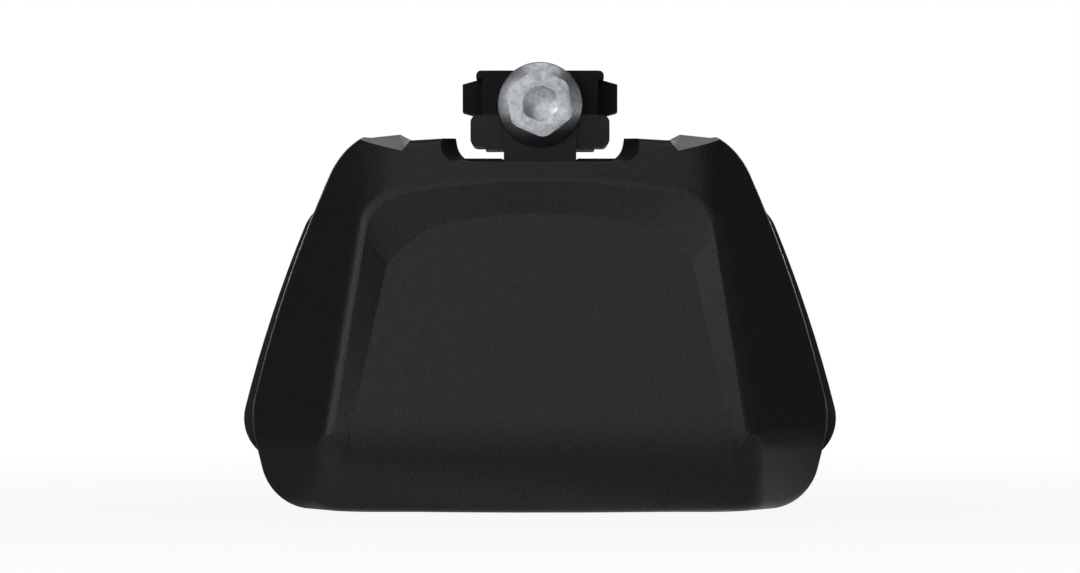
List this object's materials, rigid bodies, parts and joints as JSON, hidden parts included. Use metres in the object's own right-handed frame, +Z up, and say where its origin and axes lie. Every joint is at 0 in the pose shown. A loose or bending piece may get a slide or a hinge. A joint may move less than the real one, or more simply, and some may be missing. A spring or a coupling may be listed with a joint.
{
  "type": "roof bar foot",
  "caption": "Foot for a vehicle roof bar: cast leg under moulded covers, with a bolt-driven wedge clamp that grips the slot in the bar's underside.",
  "frame": {"origin": "midway between the two base bolt holes, on the underside of the base pad", "axes": "+Z up from the roof, X across the foot, and the front cover and the clamp bolt's head face -Y"},
  "size_m": [0.1272, 0.0677, 0.096],
  "materials": {
    "cover_plastic": "fine matte moulded grain",
    "rear_plastic": "fine matte moulded grain",
    "leg_casting": "black powder-coated casting",
    "bracket_steel": "black e-coated steel",
    "jaw_steel": "black e-coated steel",
    "bolt_steel": "grey zinc-flake coated steel",
    "screw_steel": "zinc-plated steel",
    "rubber": "matte black rubber"
  },
  "bodies": {
    "leg": {"bar_bracket": "bracket_steel", "bar_pad": "rubber", "base_pad": "rubber", "bracket_screw_lower": "screw_steel", "bracket_screw_upper": "screw_steel", "bracket_washer_lower": "screw_steel", "bracket_washer_upper": "screw_steel", "grommet_lower_left": "rubber", "grommet_lower_right": "rubber", "grommet_upper_left": "rubber", "grommet_upper_right": "rubber", "leg_frame": "leg_casting", "rear_cover": "rear_plastic", "rear_cover_screw_lower_left": "screw_steel", "rear_cover_screw_lower_right": "screw_steel", "rear_cover_screw_upper_left": "screw_steel", "rear_cover_screw_upper_right": "screw_steel"},
    "cover": {"front_cover": "cover_plastic"},
    "bolt": {"clamp_bolt": "bolt_steel", "end_clip": "screw_steel"},
    "wedge": {"wedge_nut": "screw_steel"},
    "jaw_left": {"jaw_left": "jaw_steel"},
    "jaw_right": {"jaw_right": "jaw_steel"}
  },
  "joints": [
    {"name": "cover_slide", "type": "slide", "parent": "leg", "child": "cover", "axis": [0, -1, 0], "range_m": [0, 0.045]},
    {"name": "bolt_turn", "type": "hinge", "parent": "leg", "child": "bolt", "pos_m": [0, 0, 0.0869], "axis": [0, 1, 0], "range_deg": [-1296.1, 576.1]},
    {"name": "wedge_slide", "type": "slide", "parent": "leg", "child": "wedge", "axis": [0, -1, 0], "range_m": [-0.0045, 0.002]},
    {"name": "jaw_left_slide", "type": "slide", "parent": "leg", "child": "jaw_left", "axis": [-1, 0, 0], "range_m": [-0.00181, 0.00081]},
    {"name": "jaw_right_slide", "type": "slide", "parent": "leg", "child": "jaw_right", "axis": [1, 0, 0], "range_m": [-0.00181, 0.00081]}
  ],
  "couplings": [
    {"joint": "bolt_turn", "follows": "wedge_slide", "rad_per_m": 5026.5},
    {"joint": "jaw_left_slide", "follows": "wedge_slide", "ratio": 0.4},
    {"joint": "jaw_right_slide", "follows": "wedge_slide", "ratio": 0.4}
  ]
}
